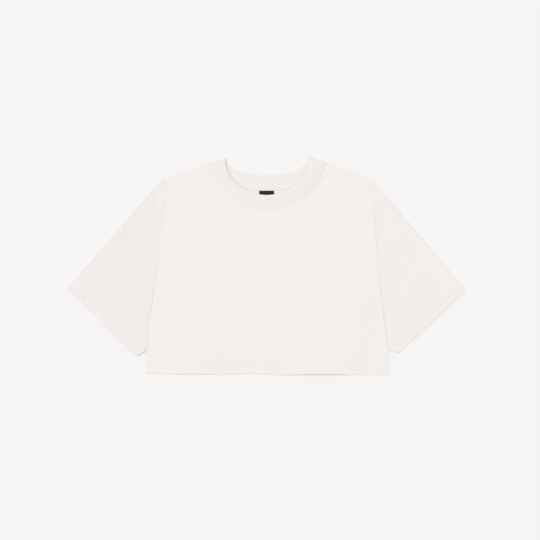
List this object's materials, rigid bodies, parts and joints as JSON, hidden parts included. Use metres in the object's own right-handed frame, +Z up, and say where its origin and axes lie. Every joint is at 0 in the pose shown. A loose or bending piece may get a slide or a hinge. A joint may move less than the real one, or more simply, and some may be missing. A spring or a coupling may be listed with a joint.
{
  "type": "crop top",
  "caption": "Boxy short T-shirt with a wide rib neckband and elbow-length sleeves, laid flat with its front up; it rests on any level surface.",
  "frame": {"origin": "middle of the garment's outline, on the surface it lies on", "axes": "+X to the right as seen from above, along the sleeve span; +Y from the hem towards the neck; +Z up, out of the front of the garment"},
  "size_m": [0.7958, 0.4382, 0.0099],
  "materials": {
    "jersey": "matt heavy cotton jersey, off-white",
    "rib": "matt fine rib knit, off-white",
    "label": "black woven tape, blank"
  },
  "bodies": {
    "root": {"back_panel": "jersey", "front_panel": "jersey", "sleeve_left": "jersey", "sleeve_right": "jersey", "neckband": "rib", "neck_label": "label"}
  },
  "joints": []
}
